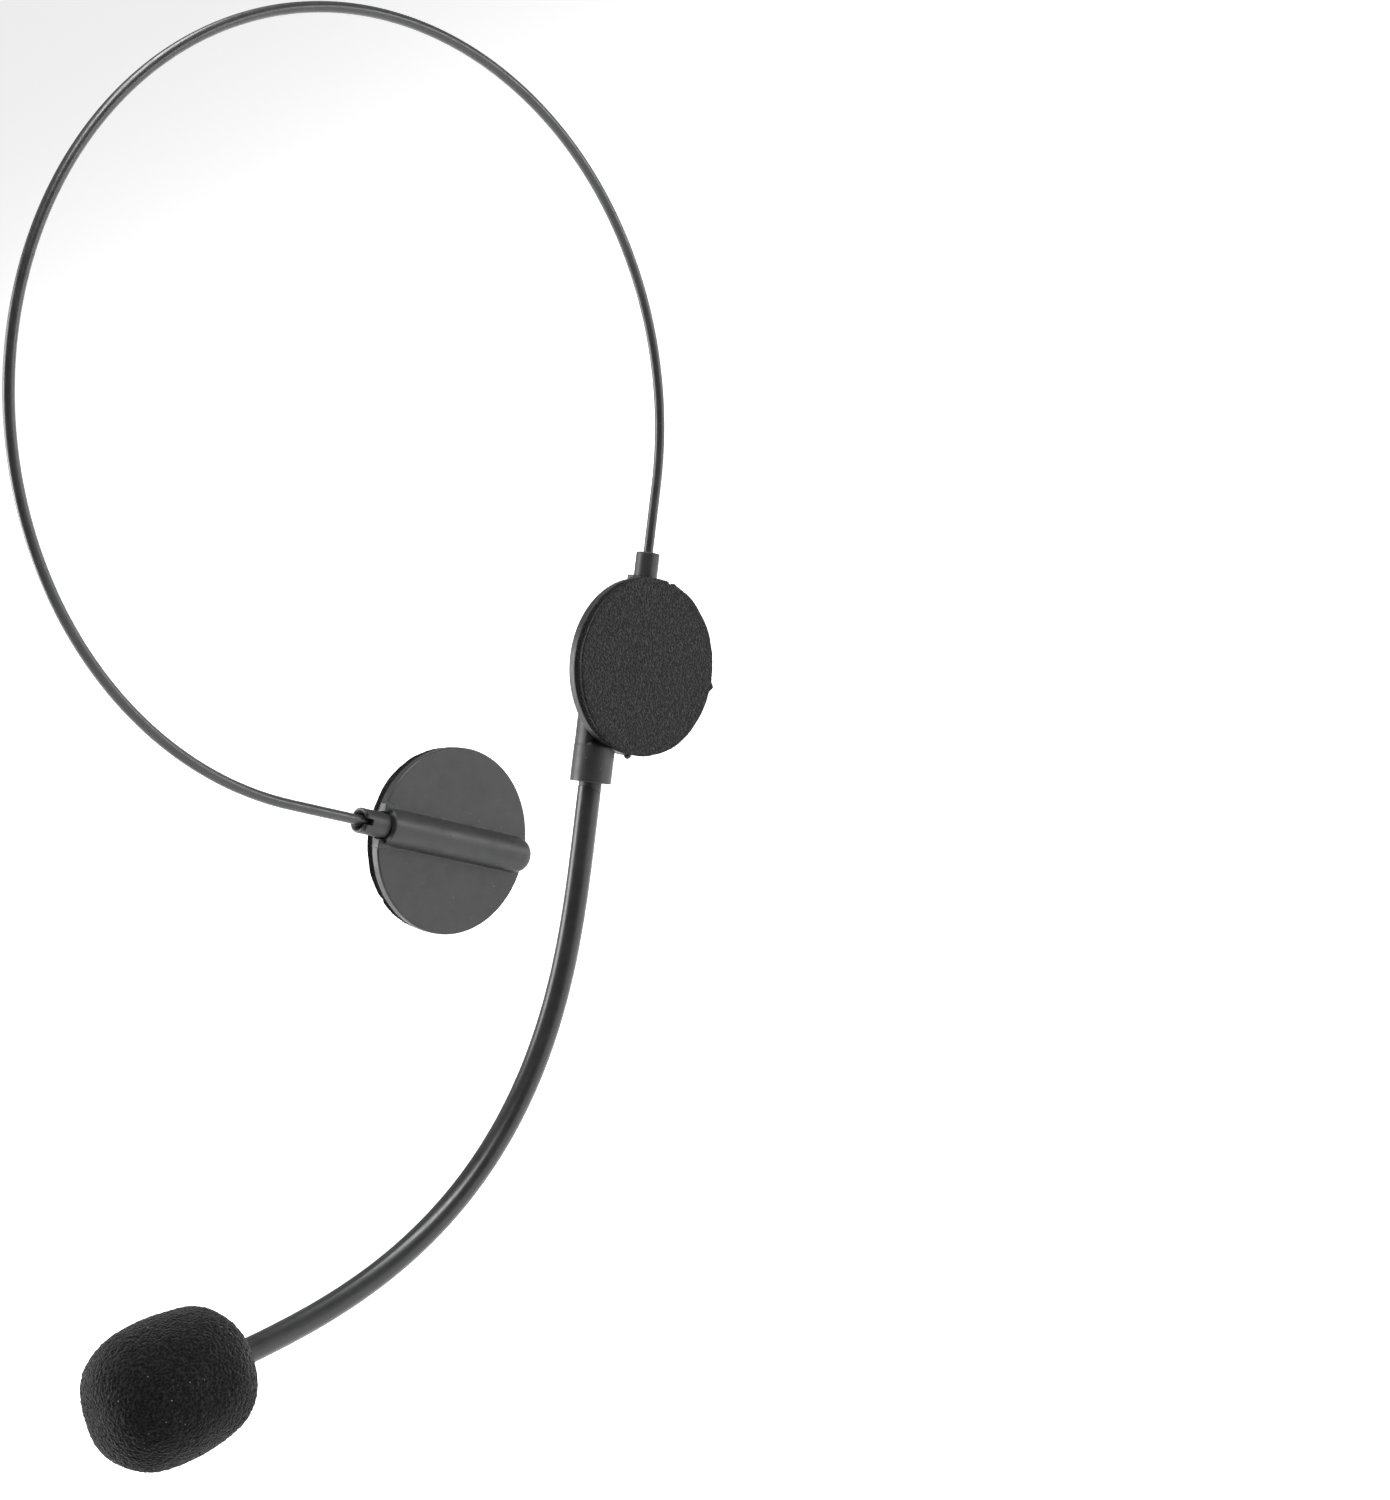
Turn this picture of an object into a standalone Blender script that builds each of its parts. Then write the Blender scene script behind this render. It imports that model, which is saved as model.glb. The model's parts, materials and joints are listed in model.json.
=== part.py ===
"""Cordless headset microphone: a sprung wire headband, two swivelling ear discs with foam pads,
and a pliable boom with its capsule under a slip-on foam windscreen.

Run with Blender 4.5. Units are metres and +Z is up. The headband lies in the XZ plane. The wearer
faces +Y and +X is the wearer's right. The origin is on the underside of the wire at its crown,
where the top of the head touches it. At rest both ear discs lie flat in the headband's plane, and
each turns a quarter turn about its wire end when the headset is worn.
"""

import math

import bmesh
import bpy
from mathutils import Matrix, Vector

MM = 0.001
GAP = 0.3 * MM  # running clearance between neighbouring pieces

# Headband wire
WIRE_RADIUS = 0.9 * MM
BAND_RADIUS = 72.5 * MM  # wire centreline
BAND_HALF_TURN = math.radians(132.2)  # from the crown to where each end runs straight
BAND_STRAIGHT = 14.2 * MM  # straight run from there to the swivel plug's mouth
CROWN_HALF_ANGLE = math.radians(30)  # the arms flex from here
BAND_STEP = math.radians(4)
BAND_SPLIT = 0.6 * MM  # free length at each flex point
WIRE_SIDES = 12
WIRE_INSERT = 8.0 * MM  # length of wire held in the plug

# Ear disc. In an ear's own axes +Z runs up the wire's end from the plug's mouth and +Y faces away
# from the head, so the disc hangs towards -Z.
EAR_RADIUS = 18.0 * MM
EAR_DROP = {"right": 22.9 * MM, "left": 24.6 * MM}  # plug's mouth to the disc's centre
PLATE_OUTER_Y = -0.25 * MM
PLATE_THICKNESS = 1.9 * MM
PLATE_INNER_Y = PLATE_OUTER_Y - PLATE_THICKNESS
PLATE_CHAMFER = 0.2 * MM
DISC_SIDES = 56
RECESS_RADIUS = 13.0 * MM
RECESS_DEPTH = 0.7 * MM
BACKING_THICKNESS = 0.4 * MM
TAPE_RADIUS = 16.8 * MM
TAPE_THICKNESS = 0.15 * MM
PAD_RADIUS = 17.8 * MM
PAD_FACE_Y = -4.45 * MM
PAD_CHAMFER = 0.3 * MM
PAD_SIDES = 48

# Rib that holds the plug's shaft, along the whole diameter of the disc
RIB_RADIUS = 3.5 * MM
RIB_TOP_Z = -9.3 * MM
RIB_END_Z = {"right": -41.1 * MM, "left": -42.4 * MM}
RIB_DOME = 2.6 * MM  # length over which its lower end is rounded
DOME_STEPS = 5
DOME_FULLNESS = 0.6  # 1 would be an ellipse, less is fuller
DOME_FLAT = 0.25  # radius of the flat at its tip, as a share of the rib's
RIB_SIDES = 24

# Swivel plug on each wire end
PLUG_RADIUS = 2.4 * MM
PLUG_BORE = WIRE_RADIUS + GAP
PLUG_LENGTH = 8.8 * MM
PLUG_NOTCH_WIDTH = 1.5 * MM
PLUG_NOTCH_DEPTH = 2.2 * MM
SHAFT_RADIUS = 1.1 * MM
SHAFT_END_Z = -20.4 * MM
HEAD_RADIUS = 1.45 * MM
HEAD_LENGTH = 2.0 * MM
PLUG_BEVEL = 0.25 * MM
PLUG_SIDES = 20

# How far pieces that are fused together reach into each other, or a cutter stops short, so that no
# two faces of one Boolean step lie in one plane
SINK = 0.6 * MM
SHY = 0.07 * MM

# Bosses on the rim that keep the plug centred
BOSS_WIDTH = 1.7 * MM
BOSS_TOP_Y = 0.7 * MM
BOSS_LENGTH = 2.9 * MM
BOSS_INSET = 0.4 * MM  # from the rim

# Boom socket on the right ear's outer side
BOOM_X = -6.6 * MM
BOOM_Y = 1.8 * MM
SOCKET_RADIUS = 4.2 * MM
SOCKET_TOP_Z = -30.5 * MM
SOCKET_ARCH_Z = -38.6 * MM  # the full round barrel starts here, under a shallow dome
SOCKET_DOME = 1.6 * MM
SOCKET_MOUTH_Z = -47.4 * MM
SOCKET_BORE_TOP_Z = -40.7 * MM
SOCKET_LIP = 0.7 * MM
SOCKET_FLAT_Y = 2.0 * MM  # above the dome only the half beyond this flat goes on
WEB_REACH = (1.4 * MM, 3.9 * MM)  # web between the socket and the plate, to each side
WEB_SET_BACK = 1.1 * MM
SOCKET_SIDES = 28

# Boom: a tube with a pliable core wire and the capsule's lead side by side in it
SHEATH_RADIUS = 2.4 * MM
SHEATH_BORE = 1.8 * MM
SHEATH_SIDES = 16
CORE_RADIUS = 0.6 * MM
CORE_OFFSET = -0.75 * MM
LEAD_RADIUS = 0.45 * MM
LEAD_OFFSET = 0.85 * MM
STRAND_SIDES = 8
BOOM_TURN = math.radians(71.3)  # from the socket's direction to the capsule's
BOOM_EASE_START = 9.4 * MM
BOOM_EASE_LENGTH = 140.2 * MM
BOOM_LENGTH = 149.2 * MM  # socket's mouth to the sheath's end
BOOM_JOINTS = (36 * MM, 74 * MM, 112 * MM)  # bend points, as lengths from the socket's mouth
BEND_SPLIT = 1.3 * MM  # free length at each bend point
BOOM_RING_STEP = 5 * MM
PATH_STEP = 0.25 * MM
SPIGOT_RADIUS = 2.3 * MM
SPIGOT_LENGTH_BELOW = 1.4 * MM
SPIGOT_TOP_Z = -41.3 * MM
SHEATH_START = 1.75 * MM
SHEATH_SLANT = math.radians(-17)  # the sheath's top end is cut aslant
STRAND_TOP = -5.6 * MM  # the strands start inside the socket, above its mouth

# Capsule and its holder, as lengths along the boom's straight end
HOLDER_RADIUS = 3.5 * MM
HOLDER_START = 144.3 * MM
HOLDER_FLOOR = 150.5 * MM
HOLDER_FLOOR_THICKNESS = 1.0 * MM
HOLDER_END = 156.5 * MM
CAPSULE_RADIUS = 2.8 * MM
CAPSULE_START = 152.3 * MM
CAPSULE_LENGTH = 2.7 * MM
FELT_THICKNESS = 0.5 * MM
TURNED_SIDES = 20

# Foam windscreen
SCREEN_RADIUS = 12.75 * MM
SCREEN_START = 143.8 * MM
SCREEN_LENGTH = 29.2 * MM
SCREEN_BORE = HOLDER_RADIUS + GAP
SCREEN_BORE_LENGTH = 13.5 * MM
SCREEN_POWER = 2.7  # 2 would be an ellipse, more is squarer
SCREEN_RINGS = 12
SCREEN_SIDES = 28

MATERIALS = {
    # name: (colour, roughness, metallic)
    "coated_wire": ((0.022, 0.022, 0.024), 0.32, 0.0),
    "disc_plastic": ((0.030, 0.030, 0.032), 0.42, 0.0),
    "pad_foam": ((0.020, 0.020, 0.021), 0.95, 0.0),
    "adhesive_tape": ((0.550, 0.530, 0.470), 0.60, 0.0),
    "boom_tube": ((0.016, 0.016, 0.017), 0.30, 0.0),
    "steel_core": ((0.480, 0.480, 0.490), 0.30, 1.0),
    "lead_jacket": ((0.250, 0.035, 0.030), 0.50, 0.0),
    "capsule_metal": ((0.700, 0.700, 0.710), 0.28, 1.0),
    "capsule_felt": ((0.012, 0.012, 0.012), 0.98, 0.0),
    "screen_foam": ((0.008, 0.008, 0.009), 0.97, 0.0),
}


# ---------------------------------------------------------------- shapes

def new_mesh(name, bm):
    """Ends a bmesh as a mesh with its faces pointing out and its round sides smooth."""
    bmesh.ops.recalc_face_normals(bm, faces=bm.faces)
    mesh = bpy.data.meshes.new(name)
    bm.to_mesh(mesh)
    bm.free()
    mesh.shade_smooth()
    mesh.set_sharp_from_angle(angle=math.radians(32))
    return mesh


def ring(bm, centre, across, up, radius, sides):
    """A ring of vertices round centre, in the plane of two unit vectors."""
    angles = (2 * math.pi * (i + 0.5) / sides for i in range(sides))
    return [bm.verts.new(centre + radius * (math.cos(a) * across + math.sin(a) * up)) for a in angles]


def bridge(bm, first, second):
    """Quads between two rings of the same size."""
    count = len(first)
    for i in range(count):
        j = (i + 1) % count
        bm.faces.new((first[i], first[j], second[j], second[i]))


def turned(name, profile, sides, hollow=False):
    """A shape turned about Z from (radius, z) points. A solid's profile ends in flat caps; a hollow
    one's profile is a closed loop."""
    bm = bmesh.new()
    x_axis, y_axis = Vector((1, 0, 0)), Vector((0, 1, 0))
    rings = [ring(bm, Vector((0, 0, z)), x_axis, y_axis, r, sides) for r, z in profile]
    for first, second in zip(rings, rings[1:]):
        bridge(bm, first, second)
    if hollow:
        bridge(bm, rings[-1], rings[0])
    else:
        bm.faces.new(rings[0])
        bm.faces.new(rings[-1])
    return new_mesh(name, bm)


def swept(name, frames, radius, sides, bore=None, offset=0.0):
    """A round bar, or a tube with a bore, along frames of (point, across, up)."""
    bm = bmesh.new()
    outer = [ring(bm, p + offset * across, across, up, radius, sides) for p, across, up in frames]
    for first, second in zip(outer, outer[1:]):
        bridge(bm, first, second)
    if bore is None:
        bm.faces.new(outer[0])
        bm.faces.new(outer[-1])
        return new_mesh(name, bm)
    inner = [ring(bm, p, across, up, bore, sides) for p, across, up in frames]
    for first, second in zip(inner, inner[1:]):
        bridge(bm, first, second)
    bridge(bm, outer[0], inner[0])
    bridge(bm, outer[-1], inner[-1])
    return new_mesh(name, bm)


def block(name, x, y, z):
    """A box between (low, high) pairs."""
    bm = bmesh.new()
    bmesh.ops.create_cube(bm, size=1)
    size = Vector((x[1] - x[0], y[1] - y[0], z[1] - z[0]))
    middle = Vector((x[0] + x[1], y[0] + y[1], z[0] + z[1])) / 2
    bmesh.ops.transform(bm, matrix=Matrix.Translation(middle) @ Matrix.Diagonal((*size, 1)), verts=bm.verts)
    return new_mesh(name, bm)


def prism(name, outline, y_low, y_high):
    """A straight-sided body with an outline in the XZ plane."""
    bm = bmesh.new()
    rings = [[bm.verts.new((x, y, z)) for x, z in outline] for y in (y_low, y_high)]
    bridge(bm, *rings)
    for loop in rings:
        bm.faces.new(loop)
    return new_mesh(name, bm)


def upright(name, radius, z_low, z_high, sides, x=0.0, y=0.0, dome=0.0):
    """A round bar along Z. A dome rounds its lower end over that length."""
    profile = [(radius, z_high), (radius, z_low + dome)]
    if dome:
        for i in range(1, DOME_STEPS):
            angle = math.pi / 2 * i / DOME_STEPS
            width = math.cos(angle) ** DOME_FULLNESS
            profile.append((radius * width, z_low + dome * (1 - math.sin(angle))))
        profile.append((radius * DOME_FLAT, z_low))
    mesh = turned(name, profile, sides)
    mesh.transform(Matrix.Translation((x, y, 0)))
    return mesh


def across_disc(name, word, radius, y_low, y_high, sides, chamfer=0.0):
    """A disc facing Y, about the centre of that ear's disc, with an optional chamfer on both rims."""
    profile = [(radius - chamfer, y_high), (radius, y_high - chamfer), (radius, y_low + chamfer),
               (radius - chamfer, y_low)] if chamfer else [(radius, y_high), (radius, y_low)]
    mesh = turned(name, profile, sides)
    mesh.transform(Matrix.Translation((0, 0, -EAR_DROP[word])) @ Matrix.Rotation(-math.pi / 2, 4, "X"))
    return mesh


# ---------------------------------------------------------------- paths

def band_point(angle):
    """Wire centreline at an angle from the crown, positive to the right."""
    centre_z = -(BAND_RADIUS - WIRE_RADIUS)
    return Vector((BAND_RADIUS * math.sin(angle), 0, centre_z + BAND_RADIUS * math.cos(angle)))


def band_heading(angle):
    """Direction of travel along the wire, away from the crown on the right."""
    return Vector((math.cos(angle), 0, -math.sin(angle)))


def wire_frames(points, headings):
    """Frames for a sweep in the XZ plane."""
    y_axis = Vector((0, 1, 0))
    return [(p, y_axis, y_axis.cross(h)) for p, h in zip(points, headings)]


def crown_frames():
    """Sweep frames of the crown, between the two flex points."""
    reach = CROWN_HALF_ANGLE - BAND_SPLIT / 2 / BAND_RADIUS
    count = round(2 * reach / BAND_STEP)
    angles = [-reach + 2 * reach * i / count for i in range(count + 1)]
    return wire_frames([band_point(a) for a in angles], [band_heading(a) for a in angles])


def arm_frames(side):
    """Sweep frames of one arm, from its flex point to its end inside the plug."""
    start = CROWN_HALF_ANGLE + BAND_SPLIT / 2 / BAND_RADIUS
    count = round((BAND_HALF_TURN - start) / BAND_STEP)
    angles = [start + (BAND_HALF_TURN - start) * i / count for i in range(count + 1)]
    points = [band_point(a) for a in angles]
    headings = [band_heading(a) for a in angles]
    points.append(points[-1] + headings[-1] * (BAND_STRAIGHT + WIRE_INSERT))
    headings.append(headings[-1])
    flip = Vector((side, 1, 1))
    return wire_frames([p * flip for p in points], [h * flip for h in headings])


def boom_heading(length):
    """Angle of the boom from the socket's direction, at a length from the socket's mouth."""
    share = min(max((length - BOOM_EASE_START) / BOOM_EASE_LENGTH, 0.0), 1.0)
    return BOOM_TURN * share * share * (3 - 2 * share)


def boom_direction(length):
    angle = boom_heading(length)
    return Vector((-math.sin(angle), 0, -math.cos(angle)))


def boom_point(length):
    """Boom centreline at a length from the socket's mouth, in the ear's axes."""
    mouth = Vector((BOOM_X, BOOM_Y, SOCKET_MOUTH_Z))
    if length <= 0:
        return mouth + boom_direction(0) * length
    steps = max(1, math.ceil(length / PATH_STEP))
    step = length / steps
    return mouth + sum((boom_direction((i + 0.5) * step) * step for i in range(steps)), Vector())


def boom_frames(start, end):
    """Sweep frames along the boom between two lengths."""
    count = max(2, math.ceil((end - start) / BOOM_RING_STEP))
    y_axis = Vector((0, 1, 0))
    frames = []
    for i in range(count + 1):
        length = start + (end - start) * i / count
        frames.append((boom_point(length), y_axis, y_axis.cross(boom_direction(length))))
    return frames


# ---------------------------------------------------------------- frames of the moving bodies

def axes_frame(origin, x_axis, y_axis, z_axis):
    columns = Matrix((x_axis, y_axis, z_axis)).transposed().to_4x4()
    return Matrix.Translation(origin) @ columns


def ear_frame(side):
    """An ear's axes: the plug's mouth, +Z up the wire's end, +Y away from the head at rest."""
    flip = Vector((side, 1, 1))
    heading = band_heading(BAND_HALF_TURN) * flip
    mouth = band_point(BAND_HALF_TURN) * flip + heading * BAND_STRAIGHT
    outward = Vector((0, side, 0))
    return axes_frame(mouth, outward.cross(-heading), outward, -heading)


def boom_frame(length):
    """Axes on the boom: -Z runs on along it, +Y as the right ear's."""
    direction = boom_direction(length)
    y_axis = Vector((0, 1, 0))
    local = axes_frame(boom_point(length), y_axis.cross(-direction), y_axis, -direction)
    return ear_frame(1) @ local


BODY_FRAMES = {
    "headband": (None, Matrix.Identity(4)),
    "right_arm": ("headband", Matrix.Translation(band_point(CROWN_HALF_ANGLE))),
    "left_arm": ("headband", Matrix.Translation(band_point(-CROWN_HALF_ANGLE))),
    "right_ear": ("right_arm", ear_frame(1)),
    "left_ear": ("left_arm", ear_frame(-1)),
    "boom_upper": ("right_ear", boom_frame(0)),
    "boom_middle": ("boom_upper", boom_frame(BOOM_JOINTS[0])),
    "boom_lower": ("boom_middle", boom_frame(BOOM_JOINTS[1])),
    "boom_tip": ("boom_lower", boom_frame(BOOM_JOINTS[2])),
    "screen": ("boom_tip", boom_frame(SCREEN_START)),
}


def make_bodies():
    """One empty for each moving body, on its joint's axis."""
    empties = {}
    for name, (parent, frame) in BODY_FRAMES.items():
        empty = bpy.data.objects.new(name + "_pivot", None)
        bpy.context.scene.collection.objects.link(empty)
        empty.empty_display_size = 5 * MM
        if parent:
            empty.parent = empties[parent]
            empty.matrix_local = BODY_FRAMES[parent][1].inverted() @ frame
        empties[name] = empty
    return empties


def make_materials():
    made = {}
    for name, (colour, roughness, metallic) in MATERIALS.items():
        material = bpy.data.materials.new(name)
        material.use_nodes = True
        shader = material.node_tree.nodes["Principled BSDF"]
        shader.inputs["Base Color"].default_value = (*colour, 1)
        shader.inputs["Roughness"].default_value = roughness
        shader.inputs["Metallic"].default_value = metallic
        material.diffuse_color = (*colour, 1)
        made[name] = material
    return made


class Builder:
    """Puts meshes into the scene as named sub-parts of the moving bodies."""

    def __init__(self):
        self.bodies = make_bodies()
        self.materials = make_materials()

    def place(self, mesh, name, body, frame):
        """Links mesh, given in frame's axes, with its origin at its body's pivot."""
        mesh.transform(BODY_FRAMES[body][1].inverted() @ frame)
        item = bpy.data.objects.new(name, mesh)
        bpy.context.scene.collection.objects.link(item)
        item.parent = self.bodies[body]
        return item

    def part(self, mesh, name, body, frame, finish):
        item = self.place(mesh, name, body, frame)
        mesh.materials.append(self.materials[finish])
        return item

    def combine(self, item, mesh, operation, body, frame):
        """Adds a Boolean modifier whose operand is a hidden wireframe object."""
        tool = self.place(mesh, mesh.name, body, frame)
        tool.hide_render = True
        tool.display_type = "WIRE"
        step = item.modifiers.new(mesh.name, "BOOLEAN")
        step.operation = operation
        step.solver = "EXACT"
        step.object = tool


# ---------------------------------------------------------------- sub-parts

def build_band(builder):
    world = Matrix.Identity(4)
    crown = swept("band_crown", crown_frames(), WIRE_RADIUS, WIRE_SIDES)
    builder.part(crown, "band_crown", "headband", world, "coated_wire")
    for side, word in ((1, "right"), (-1, "left")):
        arm = swept(f"{word}_band_arm", arm_frames(side), WIRE_RADIUS, WIRE_SIDES)
        builder.part(arm, f"{word}_band_arm", f"{word}_arm", world, "coated_wire")


def build_plug(builder, word, frame):
    """Swivel plug fixed on the wire's end. Its shaft turns in the rib and its head keeps it there."""
    floor = -(WIRE_INSERT + GAP)
    profile = [
        (PLUG_BORE, floor), (PLUG_BORE, 0), (PLUG_RADIUS - PLUG_BEVEL, 0),
        (PLUG_RADIUS, -PLUG_BEVEL),
        (PLUG_RADIUS, -PLUG_LENGTH), (SHAFT_RADIUS, -PLUG_LENGTH),
        (SHAFT_RADIUS, SHAFT_END_Z + HEAD_LENGTH), (HEAD_RADIUS, SHAFT_END_Z + HEAD_LENGTH),
        (HEAD_RADIUS, SHAFT_END_Z),
    ]
    name = f"{word}_swivel_plug"
    plug = turned(name, profile, PLUG_SIDES)
    item = builder.part(plug, name, f"{word}_arm", frame, "disc_plastic")
    half = PLUG_NOTCH_WIDTH / 2
    notch = block(f"{word}_plug_notch", (-half, half), (0, 2 * PLUG_RADIUS), (-PLUG_NOTCH_DEPTH, MM))
    builder.combine(item, notch, "DIFFERENCE", f"{word}_arm", frame)


def build_shell(builder, word, frame):
    """Moulded ear disc: plate, rib over the plug's shaft, and the bosses beside the plug. The
    shaft's channel is open to the pad's side, where the backing disc closes it."""
    body = f"{word}_ear"
    plate_y = (PLATE_INNER_Y, PLATE_OUTER_Y)
    plate = across_disc(f"{word}_ear_shell", word, EAR_RADIUS, *plate_y, DISC_SIDES, PLATE_CHAMFER)
    item = builder.part(plate, f"{word}_ear_shell", body, frame, "disc_plastic")

    def add(mesh):
        builder.combine(item, mesh, "UNION", body, frame)

    def cut(mesh):
        builder.combine(item, mesh, "DIFFERENCE", body, frame)

    rib = upright(f"{word}_rib", RIB_RADIUS, RIB_END_Z[word], RIB_TOP_Z, RIB_SIDES, dome=RIB_DOME)
    clip_below(rib, PLATE_INNER_Y + SINK + SHY)
    add(rib)
    inside = PLUG_RADIUS + GAP
    boss_top = -EAR_DROP[word] + EAR_RADIUS - BOSS_INSET
    boss_z = (boss_top - BOSS_LENGTH, boss_top)
    for sign, place in ((-1, "front"), (1, "rear")):
        reach = sorted((sign * (inside - 0.4 * MM), sign * (inside + BOSS_WIDTH)))
        add(block(f"{word}_boss_{place}", reach, (PLATE_OUTER_Y - SINK, BOSS_TOP_Y), boss_z))
    if word == "right":
        build_socket(add)

    cut(upright(f"{word}_saddle", inside, RIB_TOP_Z + 0.02 * MM, 0, PLUG_SIDES))
    bore = SHAFT_RADIUS + GAP
    pocket = HEAD_RADIUS + GAP
    pocket_top = SHAFT_END_Z + HEAD_LENGTH + GAP
    pocket_end = SHAFT_END_Z - GAP
    profile = [(bore, RIB_TOP_Z + MM), (bore, pocket_top), (pocket, pocket_top), (pocket, pocket_end)]
    cut(turned(f"{word}_shaft_hollow", profile, PLUG_SIDES))
    open_y = (PLATE_INNER_Y - MM, 2 * SHY)
    wide, narrow = pocket * 0.95, bore * 0.95
    top = -EAR_DROP[word] + RECESS_RADIUS - 0.8 * MM
    step, bottom = pocket_top - SHY, pocket_end + SHY
    half = [(narrow, top), (narrow, step), (wide, step), (wide, bottom)]
    outline = half + [(-x, z) for x, z in reversed(half)]
    cut(prism(f"{word}_shaft_channel", outline, *open_y))
    recess_y = (PLATE_INNER_Y - MM, PLATE_INNER_Y + RECESS_DEPTH)
    cut(across_disc(f"{word}_recess", word, RECESS_RADIUS, *recess_y, DISC_SIDES))
    if word == "right":
        bore = SPIGOT_RADIUS + GAP
        lip_z = SOCKET_MOUTH_Z + SOCKET_LIP
        profile = [(bore, SOCKET_BORE_TOP_Z), (bore, lip_z), (bore + SOCKET_LIP, SOCKET_MOUTH_Z),
                   (bore + SOCKET_LIP, SOCKET_MOUTH_Z - MM)]
        mesh = turned("socket_bore", profile, SOCKET_SIDES)
        mesh.transform(Matrix.Translation((BOOM_X, BOOM_Y, 0)))
        cut(mesh)


def build_socket(add):
    """Barrel that takes the boom, with its outer half run up the disc's outer side."""
    dome = [(SOCKET_RADIUS * math.sin(a), SOCKET_ARCH_Z - SOCKET_DOME * (1 - math.cos(a)))
            for a in (math.radians(15 + 15 * i) for i in range(6))]
    barrel = turned("socket_barrel", dome + [(SOCKET_RADIUS, SOCKET_MOUTH_Z)], SOCKET_SIDES)
    barrel.transform(Matrix.Translation((BOOM_X, BOOM_Y, 0)))
    add(barrel)
    spine = upright("socket_spine", SOCKET_RADIUS - SHY, SOCKET_MOUTH_Z + 2 * MM, SOCKET_TOP_Z,
                    SOCKET_SIDES - 2, BOOM_X, BOOM_Y)
    clip_below(spine, SOCKET_FLAT_Y)
    add(spine)
    web_x = (BOOM_X - WEB_REACH[0], BOOM_X + WEB_REACH[1])
    web_z = (SOCKET_ARCH_Z + WEB_SET_BACK, SOCKET_TOP_Z - 3 * SHY)
    add(block("socket_web", web_x, (PLATE_OUTER_Y - SINK, SOCKET_FLAT_Y + SINK), web_z))


def clip_below(mesh, y_limit):
    """Cuts away what reaches below y_limit and closes the cut."""
    bm = bmesh.new()
    bm.from_mesh(mesh)
    geometry = bm.verts[:] + bm.edges[:] + bm.faces[:]
    cut = bmesh.ops.bisect_plane(bm, geom=geometry, plane_co=(0, y_limit, 0), plane_no=(0, -1, 0),
                                 clear_outer=True)
    rim = [e for e in cut["geom_cut"] if isinstance(e, bmesh.types.BMEdge)]
    bmesh.ops.holes_fill(bm, edges=rim)
    bmesh.ops.recalc_face_normals(bm, faces=bm.faces)
    bm.to_mesh(mesh)
    bm.free()


def build_pad(builder, word, frame):
    """Backing disc, adhesive ring and foam pad on the disc's inner side."""
    body = f"{word}_ear"
    floor = PLATE_INNER_Y + RECESS_DEPTH - GAP
    backing_y = (floor - BACKING_THICKNESS, floor)
    backing = across_disc(f"{word}_backing_disc", word, RECESS_RADIUS - GAP, *backing_y, DISC_SIDES)
    builder.part(backing, f"{word}_backing_disc", body, frame, "disc_plastic")
    tape_top = PLATE_INNER_Y - GAP
    tape = across_disc(f"{word}_pad_tape", word, TAPE_RADIUS, tape_top - TAPE_THICKNESS, tape_top, PAD_SIDES)
    builder.part(tape, f"{word}_pad_tape", body, frame, "adhesive_tape")
    pad_top = tape_top - TAPE_THICKNESS - GAP
    pad = across_disc(f"{word}_ear_pad", word, PAD_RADIUS, PAD_FACE_Y, pad_top, PAD_SIDES, PAD_CHAMFER)
    builder.part(pad, f"{word}_ear_pad", body, frame, "pad_foam")


def build_boom(builder, frame):
    """Spigot, and the sheath, core wire and lead of each boom section."""
    spigot_end = SOCKET_MOUTH_Z - SPIGOT_LENGTH_BELOW
    profile = [(SHEATH_BORE, SPIGOT_TOP_Z), (SPIGOT_RADIUS, SPIGOT_TOP_Z),
               (SPIGOT_RADIUS, spigot_end), (SHEATH_BORE, spigot_end)]
    spigot = turned("boom_spigot", profile, SHEATH_SIDES, hollow=True)
    spigot.transform(Matrix.Translation((BOOM_X, BOOM_Y, 0)))
    slant_end(spigot, spigot_end)
    builder.part(spigot, "boom_spigot", "boom_upper", frame, "disc_plastic")

    names = ("upper", "middle", "lower", "tip")
    starts = (SHEATH_START, *(j + BEND_SPLIT / 2 for j in BOOM_JOINTS))
    ends = (*(j - BEND_SPLIT / 2 for j in BOOM_JOINTS), BOOM_LENGTH)
    for name, start, end in zip(names, starts, ends):
        body = f"boom_{name}"
        path = boom_frames(start, end)
        sheath = swept(f"sheath_{name}", path, SHEATH_RADIUS, SHEATH_SIDES, bore=SHEATH_BORE)
        if name == "upper":
            slant_end(sheath, SOCKET_MOUTH_Z - start)
        builder.part(sheath, f"sheath_{name}", body, frame, "boom_tube")
        strand_start = STRAND_TOP if name == "upper" else start
        strand_end = HOLDER_FLOOR - HOLDER_FLOOR_THICKNESS if name == "tip" else end
        for strand, radius, offset, finish in (
            ("core_wire", CORE_RADIUS, CORE_OFFSET, "steel_core"),
            ("signal_lead", LEAD_RADIUS, LEAD_OFFSET, "lead_jacket"),
        ):
            path = boom_frames(strand_start, strand_end)
            mesh = swept(f"{strand}_{name}", path, radius, STRAND_SIDES, offset=offset)
            builder.part(mesh, f"{strand}_{name}", body, frame, finish)


def slant_end(mesh, z_end):
    """Shears the end of a tube at z_end so that it meets its neighbour along a slanted cut."""
    for v in mesh.vertices:
        if abs(v.co.z - z_end) < 0.001 * MM:
            v.co.z += (v.co.x - BOOM_X) * math.tan(SHEATH_SLANT)


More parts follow.
